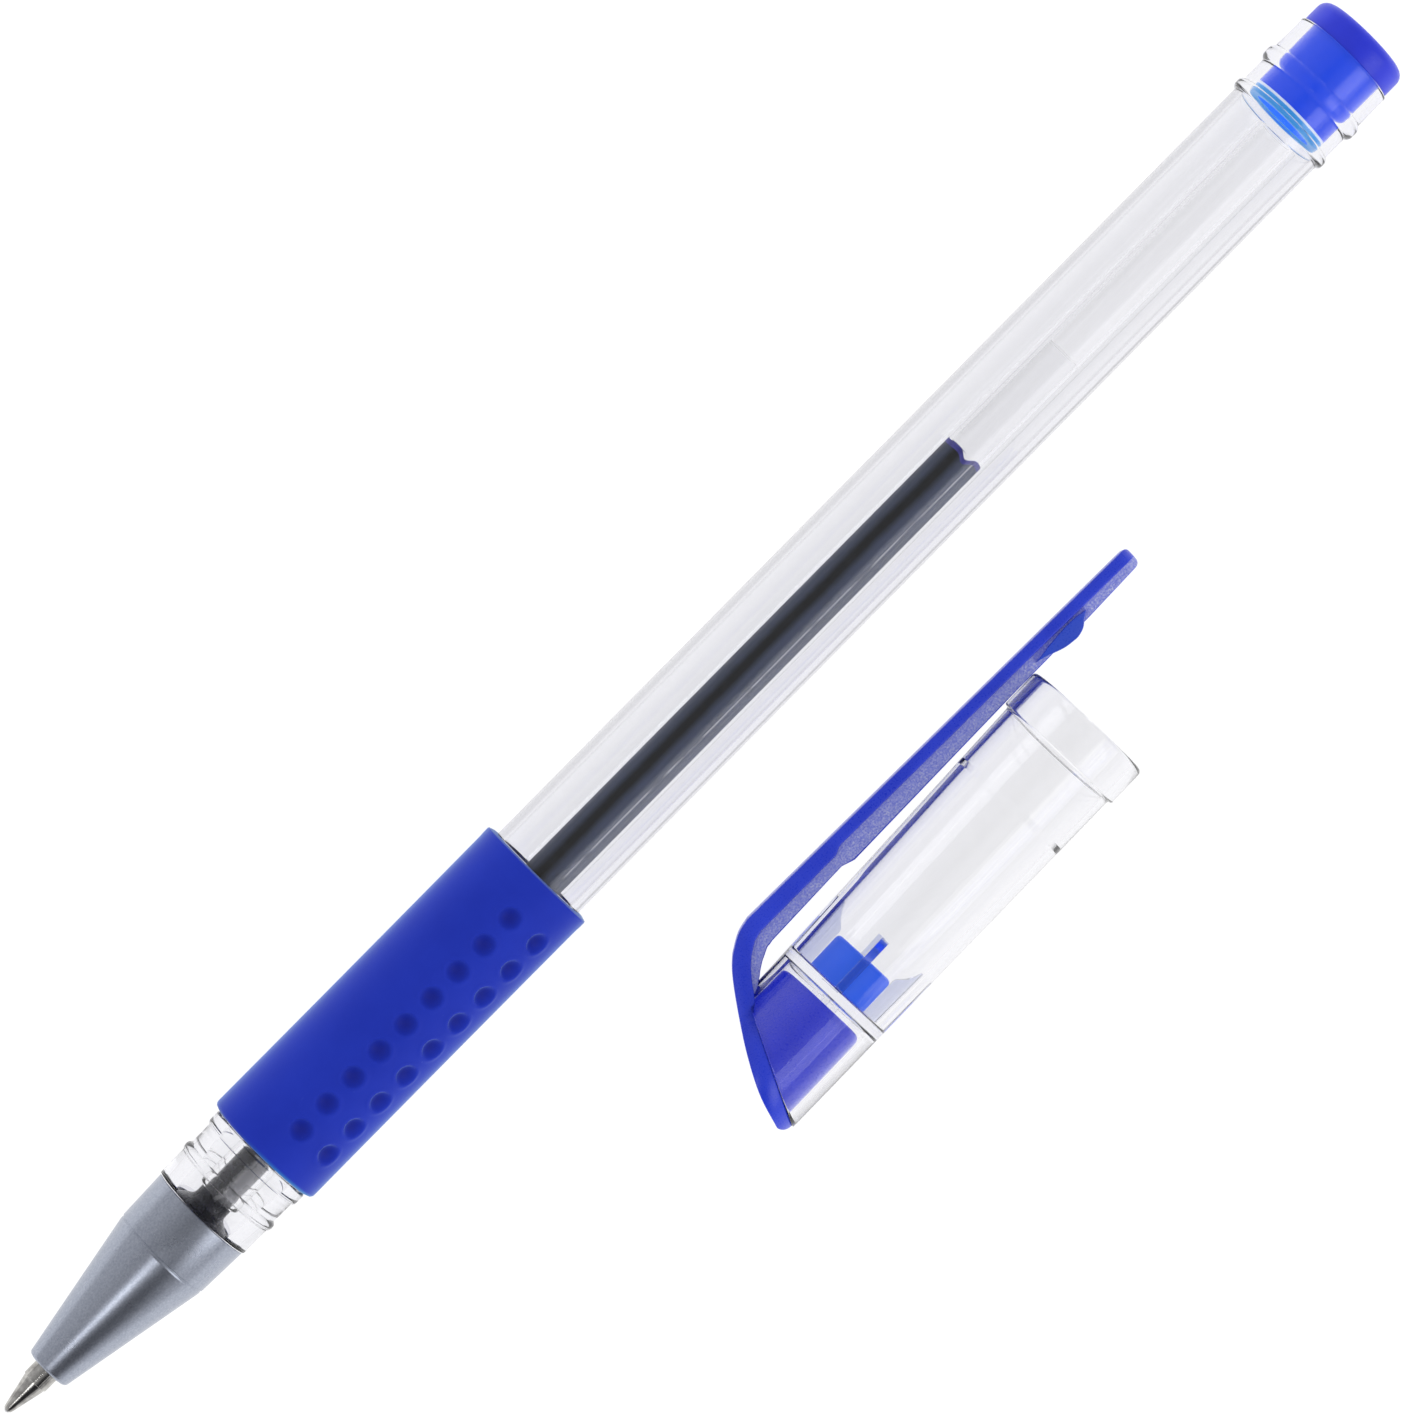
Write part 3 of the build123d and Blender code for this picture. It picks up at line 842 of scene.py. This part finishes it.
def make_ball():
    outline = []
    for k in range(25):
        turn = math.pi * k / 24
        height = BALL_R * math.sin(turn) if 0 < k < 24 else 0
        outline.append((BALL_R - BALL_R * math.cos(turn), height))
    ball = lathe("writing_ball_round", outline, PEN, 48)
    finish_piece(ball, ball_metal(), "ball", "ball_metal", "writing_ball")


def connector_lit_side(co):
    """Painted light: the stem inside the tube is paler on the cap's side."""
    return smoothstep(21.8, 22.3, co.x) * smoothstep(-0.05, 0.2, math.atan2(-co.y, co.z))


def make_connector():
    """Sleeve round the tip's shank, a flange, and the stem that the tube is pushed over."""
    outline = rounded([
        (7.4, TIP_SHANK_R), (7.4, CONNECTOR_R, 0.15), (19.6, CONNECTOR_R), (19.6, 2.60, 0.15),
        (20.1, 2.60, 0.15), (20.7, CONNECTOR_R, 0.4), (TUBE_FRONT, CONNECTOR_R),
        *((x, CONNECTOR_STEM_R) for x in (TUBE_FRONT, 22.1, 22.6, 23.5, CONNECTOR_REAR)),
        (CONNECTOR_REAR, TIP_BORE_R), (TIP_REAR, TIP_BORE_R), (TIP_REAR, TIP_SHANK_R),
    ])
    piece = lathe("tip_connector_smoky", outline, PEN, 96)
    add_weights(piece, "pale", connector_lit_side, PEN)
    finish_piece(piece, smoky_plastic(), "refill", "connector_plastic", "tip_connector")


def ink_turn(co):
    """Angle round the leaning ink column, from its top towards the cap."""
    return math.atan2(-(co.y + LEAN * smoothstep(LEAN_START, LEAN_END, co.x)), co.z)


def tube_side_shade(co):
    """Painted shade on the empty tube's two sides, where its wall is thick to look through."""
    side = abs(math.sin(ink_turn(co)))
    return smoothstep(INK_REAR, INK_REAR + 1.0, co.x) * smoothstep(0.40, 0.80, side)


def make_refill_tube():
    outer = [(x, TUBE_R) for x in stations(TUBE_FRONT + 0.1, TUBE_REAR, 80)]
    inner = [(x, TUBE_BORE_R) for x in stations(TUBE_REAR, TUBE_FRONT, 80)]
    outline = [(TUBE_FRONT, TUBE_R - 0.1)] + outer + inner
    tube = lathe("refill_tube_clear", outline, PEN, 96, warp=leaning)
    # painted light: the refill tube glows faintly, with no lamp behind it
    material = clear_plastic("refill_clear", (1.0, 1.0, 1.0), 0.04, 1.22, milky_glow=0.016, side_shade=0.945)
    # painted shade: the empty tube's sides are darkened
    add_weights(tube, "side_shade", tube_side_shade, PEN)
    finish_piece(tube, material, "refill", "refill_plastic", "refill_tube")


def ink_warp(co):
    """Lean, and the uneven rear rim: the ink runs back along one side and is notched on top."""
    turn = math.atan2(-co.y, co.z)
    near = smoothstep(INK_REAR - INK_RAGGED, INK_REAR, co.x)
    notch = math.exp(-((turn - 0.25) / 0.35) ** 2)
    return leaning(co) + Vector((near * (0.10 * math.sin(2 * turn + 0.6) - 0.55 * notch), 0, 0))


def ink_shading(co):
    """Painted light and shade round the column: 0 in its painted dark streak, 1 on its paler lit
    flanks, the side away from the cap dimmer.
    """
    wander = 0.18 * noise.noise(Vector((co.x * 0.11, 0.0, 3.0)))
    turn = ink_turn(co) + 0.34 + wander
    return smoothstep(0.08, 0.55, abs(turn)) * (1.0 if turn > 0 else 0.75)


def glint(co):
    """Painted highlight: a fine bright line along the column, on the cap's side."""
    if co.x <= TUBE_FRONT:
        return 0.0
    return 1 - smoothstep(0.02, 0.07, abs(ink_turn(co) - 0.75))


def make_ink():
    """Ink against the tube's wall, a hair inside the plastic so that no air shows between them."""
    wetted, hollow, ragged = TUBE_BORE_R + 0.02, INK_REAR - 0.40, INK_REAR - INK_RAGGED
    outline = [(TIP_REAR, 0), (TIP_REAR, TIP_BORE_R), (CONNECTOR_REAR, TIP_BORE_R)]
    outline += [(x, wetted) for x in stations(CONNECTOR_REAR, ragged, 60)]
    outline += [(x, wetted) for x in stations(ragged, hollow, 12)[1:]]
    outline += [(INK_REAR - 0.25, wetted), (INK_REAR, wetted)]
    outline += [(INK_REAR - 0.30, 0.8), (hollow, 0)]

    def zone(x, r):
        """0 the column, 1 its rear rim."""
        return int(x > hollow - 0.01)

    ink = lathe("ink_gel", outline, PEN, 216, warp=ink_warp, zone=zone)
    add_weights(ink, "ink_shading", ink_shading, PEN)
    add_weights(ink, "glint", glint, PEN)
    finish_piece(ink, (gel_ink(), thin_ink()), "refill", "ink", "ink_column")


def make_follower():
    """Clear grease behind the ink."""
    wetted = TUBE_BORE_R - 0.01
    outline = [(INK_REAR - 0.45, 0), (INK_REAR - 0.35, 0.8), (INK_REAR - 0.1, wetted)]
    outline += [(x, wetted) for x in stations(INK_REAR, FOLLOWER_REAR, 10)[1:]]
    outline += [(FOLLOWER_REAR, 0)]
    grease = lathe("follower_grease", outline, PEN, 96, warp=leaning)
    material = clear_plastic("grease_clear", (0.995, 0.995, 1.0), 0.05, 1.06)
    finish_piece(grease, material, "refill", "follower", "ink_follower")


# ---- cap pieces ----------------------------------------------------------------------------

RIB_SLOT, BUMP_SLOT = 1, 2         # material slots of the clip, after its plain blue


def make_fins(bm, inner_r, wall_r):
    """Four gussets from the partition to the shell's wall, flat plates with a sloped front."""
    front, shoulder, end, half = PARTITION_FRONT - 0.02, -23.1, -21.35, 0.3
    side = [Vector(point) for point in (
        (front, inner_r), (shoulder - 0.1, inner_r), (shoulder + 0.15, inner_r + 0.06),
        (-22.4, inner_r + 0.62), (-21.8, inner_r + 1.02),
        (end, wall_r - 0.1), (end, wall_r), (front, wall_r),
    )]
    for quarter in range(4):
        turn = Matrix.Rotation(quarter * math.pi / 2, 3, "X")
        faces = []
        for z in (-half, half):
            faces.append([bm.verts.new(turn @ Vector((p.x, p.y, z))) for p in side])
        bm.faces.new(faces[0])
        bm.faces.new(faces[1])
        for k in range(len(side)):
            ahead = (k + 1) % len(side)
            bm.faces.new((faces[0][k], faces[0][ahead], faces[1][ahead], faces[1][k]))


def shell_zone(x, r):
    """0 tinted outside, 1 untinted bore and chamber."""
    if x < PARTITION_BACK:
        return int(r < 4.1)
    return int(r < table(((PARTITION_FRONT, 4.1), (-8.0, 4.45), (0.0, 4.55)), x))


def make_cap_shell():
    """Shell with its mouth ring, bore, partition and slanted end; its gussets and its pegs."""
    chamber_r = 3.78
    outline = rounded([
        (CLOSED_X, chamber_r, 0.08), (CLOSED_X, CLOSED_R, 0.15), (-3.25, 4.93, 0.15),
        (-3.2, 5.23, 0.2), (0, 5.23, 0.35), (0, 4.40, 0.12), (-8.0, 4.40, 0.15), (-8.5, 4.22, 0.15),
        (PARTITION_FRONT, 3.80, 0.2), (PARTITION_FRONT, 0),
        (PARTITION_BACK, 0), (PARTITION_BACK, chamber_r, 0.2),
    ])
    warp = slanted(PARTITION_BACK)
    shell = lathe("cap_shell_clear", outline, CAP, 192, warp=warp, zone=shell_zone)
    tinted = clear_plastic("cap_clear_plastic", (0.87, 0.87, 0.895), 0.03, 1.45)
    plain = clear_plastic("cap_bore_plastic", (1.0, 1.0, 1.0), 0.02, 1.45)
    finish_piece(shell, (tinted, plain), "cap", "clear_plastic", "cap_shell")
    bm = bmesh.new()
    make_fins(bm, FIN_INNER_R, 3.95)
    fins = add_object("cap_gussets", bm, CAP)
    gusset = clear_plastic("gusset_clear", (0.70, 0.73, 0.88), 0.08, 1.46)
    finish_piece(fins, gusset, "cap", "clear_plastic", "cap_shell")
    make_studs(plain)


def make_studs(material):
    """Small moulded pegs between the partition and the clip's block."""
    middle, ring_r = (BLOCK_END + PARTITION_BACK) / 2, 0.9
    along = Matrix.Rotation(math.pi / 2, 4, "Y")
    bm = bmesh.new()
    for quarter in range(4):
        turn = quarter * math.pi / 2
        spot = (middle, ring_r * math.cos(turn), ring_r * math.sin(turn))
        place = Matrix.Translation(spot) @ along
        bmesh.ops.create_cone(
            bm, cap_ends=True, segments=24, radius1=0.25, radius2=0.22,
            depth=PARTITION_BACK - BLOCK_END, matrix=place,
        )
    studs = add_object("cap_studs", bm, CAP)
    finish_piece(studs, material, "cap", "clear_plastic", "cap_shell")


def make_nib_seal():
    """Soft plug with the blind hole that the nib presses into."""
    seat, hole_floor = PARTITION_FRONT + 0.01, -26.05
    outline = rounded([
        (seat, 0), (seat, SEAL_R, 0.1), (SEAL_FRONT, SEAL_R, 0.35),
        (SEAL_FRONT, 1.10, 0.15), (hole_floor, 1.05, 0.3), (hole_floor, 0),
    ])
    seal = lathe("nib_seal_soft", outline, CAP)
    low, high, glow = (0.005, 0.05, 0.70), (0.02, 0.09, 0.80), (0.004, 0.07, 0.48)
    material = blue_plastic("seal_blue", low, high, rough=0.45, glow=glow)
    finish_piece(seal, material, "cap", "seal_plastic", "nib_seal")


def plane_x(y):
    """Station of the shell's slanted end at height y."""
    return CLOSED_X + y * math.tan(SLANT)


def arm_y(x):
    return ARM_ROOT_Y + ARM_FALL * (x - ARM_ROOT_X)


def clip_spine():
    """Outer face of the clip from the plate's foot to the arm's end: (point, inward normal)."""
    foot = []
    for k in range(12):
        turn = math.radians(270 - 90 * k / 12)
        foot.append(Vector(CLIP_FOOT) + CLIP_FOOT_R * Vector((math.cos(turn), math.sin(turn))))
    dense = foot + smooth_path(CLIP_OUTER)
    start = CLIP_OUTER[-1][0]
    dense += [Vector((x, arm_y(x))) for x in stations(start, ARM_END_X - CLIP_NOSE, 150)[1:]]
    for k in range(1, 13):
        x = ARM_END_X - CLIP_NOSE * (1 - math.sin(math.radians(7.5 * k)))
        dense.append(Vector((x, arm_y(x))))
    spine = []
    for i, point in enumerate(dense):
        along = dense[min(i + 1, len(dense) - 1)] - dense[max(i - 1, 0)]
        spine.append((point, Vector((along.y, -along.x)).normalized()))
    return spine


def leaf_width(x, y):
    """Half width of the clip's leaf: the plate follows the round shell, the arm is straight."""
    round_part = math.sqrt(max(PLATE_R ** 2 - y ** 2, 0))
    straight = ARM_WIDTH / 2
    if x < ARM_ROOT_X and y < 5:
        return max(round_part, straight * smoothstep(1.0, 3.0, y), 0.05)
    return straight - 0.35 * smoothstep(-20, ARM_END_X, x) - ease(ARM_END_X - x, 1.5)


def leaf_inner(point, inward):
    """Inner face of the leaf: on the shell's slanted end below, square to the leaf above."""
    x, y = point
    thick = table(LEAF_BEND, y) if x < ARM_ROOT_X else table(LEAF_ARM, x)
    square = point + inward * thick
    if x > ARM_ROOT_X or y > 4.5:
        return square
    flat = Vector((max(plane_x(y), x + 0.03), y))
    return flat.lerp(square, smoothstep(1.5, 4.5, y))


def rib_depth(x, y, inner_y):
    """How far the rib stands below the leaf; its foot stays clear of the cap's mouth ring."""
    if x < ARM_ROOT_X:
        return table(RIB_ROOT, y)
    return max(inner_y - table(RIB_FOOT, x), 0.0)


def section(half, leaf, rib_half, rib):
    """Closed T-shaped section as (z, depth), always the same number of points."""
    edge = min(0.14, leaf * 0.3, half * 0.45)
    rib_half = min(rib_half, half * 0.8)
    corners = [(-half + edge, 0), (-half + edge * 0.3, edge * 0.3), (-half, edge)]
    corners += [(-half, leaf - edge), (-half + edge * 0.3, leaf - edge * 0.3), (-half + edge, leaf)]
    root, foot = rib_half + 0.1, rib_half - min(0.12, rib * 0.12)
    sides = [(-root, leaf), (-foot, leaf + rib * 0.93), (-foot + 0.1, leaf + rib)]
    left = corners + sides
    return left + [(-z, depth) for z, depth in reversed(left)]


def add_bump(bm):
    """Wave-shaped boss under the arm that grips a pocket, with soft edges."""
    outline = smooth_path(BUMP_OVER, 0.15) + smooth_path(BUMP_ROOT, 0.3)
    middle = sum(outline, Vector((0, 0))) / len(outline)
    slices = ((-1.0, 0.90), (-0.985, 0.96), (-0.94, 1.0), (0.94, 1.0), (0.985, 0.96), (1.0, 0.90))
    rings = []
    for side, share in slices:
        flat = [middle.lerp(point, share) for point in outline]
        rings.append([bm.verts.new((point.x, point.y, side * BUMP_WIDTH / 2)) for point in flat])
    count = len(outline)
    for ring, ahead in zip(rings, rings[1:]):
        for k in range(count):
            after = (k + 1) % count
            face = bm.faces.new((ring[k], ring[after], ahead[after], ahead[k]))
            face.material_index = BUMP_SLOT
    bm.faces.new(rings[0]).material_index = BUMP_SLOT
    bm.faces.new(rings[-1]).material_index = BUMP_SLOT


def make_clip(*materials):
    """Plate, bend, arm, rib and bump of the one blue moulding, lofted along its spine."""
    bm = bmesh.new()
    rings = []
    for point, inward in clip_spine():
        x, y = point
        inner = leaf_inner(point, inward)
        leaf = (inner - point).length
        rib = rib_depth(x, y, inner.y)
        drop, lift = ease(ARM_END_X - x, 0.4), ease(ARM_END_X - x, 0.5)
        ring = []
        for z, depth in section(leaf_width(x, y), leaf, RIB_WIDTH / 2, rib):
            if depth > leaf:
                flat = inner + inward * (depth - leaf)
            else:
                flat = point.lerp(inner, depth / leaf)
            flat.y = min(max(flat.y, inner.y - rib + lift), y - drop) if x > ARM_ROOT_X else flat.y
            ring.append(bm.verts.new((flat.x, flat.y, z)))
        rings.append(ring)
    count = len(rings[0])
    rib_sides = (6, count - 8)     # where section() runs down the rib
    for ring, ahead in zip(rings, rings[1:]):
        for k in range(count):
            after = (k + 1) % count
            face = bm.faces.new((ring[k], ring[after], ahead[after], ahead[k]))
            face.material_index = RIB_SLOT if k in rib_sides else 0
    bm.faces.new(rings[0])
    bm.faces.new(rings[-1])
    add_bump(bm)
    clip = add_object("clip_blue", bm, CAP, 30)
    for material in materials:
        clip.data.materials.append(material)
    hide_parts("clip_arm")
    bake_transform(clip)


def make_block():
    """Block of the blue moulding that closes the shell's slanted end."""
    low, high, glow = (0.012, 0.018, 0.50), (0.022, 0.034, 0.62), (0.014, 0.022, 0.33)
    material = blue_plastic("block_blue_plastic", low, high, glow=glow)
    back = CLOSED_X - 0.3
    outline = rounded([(back, 0), (back, BLOCK_R), (BLOCK_END, BLOCK_R, 0.5), (BLOCK_END, 0)])
    block = lathe("clip_block_blue", outline, CAP, 128, warp=slanted(BLOCK_END))
    finish_piece(block, material, "cap", "blue_plastic", "clip_base")


# ---- the whole -----------------------------------------------------------------------------

def make_object():
    blue = blue_plastic("clip_blue_plastic", (0.016, 0.046, 0.72), (0.026, 0.064, 0.84))
    make_barrel()
    make_grip()
    make_end_plug()
    make_nose_cone()
    make_metal_tip()
    make_ball()
    make_connector()
    make_refill_tube()
    make_ink()
    make_follower()
    make_cap_shell()
    make_nib_seal()
    # painted light: the boss is a lighter copy of the clip's blue
    bump = blue_plastic("bump_lit_blue_plastic", (0.030, 0.085, 0.70), (0.040, 0.105, 0.78))
    make_clip(blue, rib_side_lit_blue(), bump)
    make_block()


make_studio()
make_object()
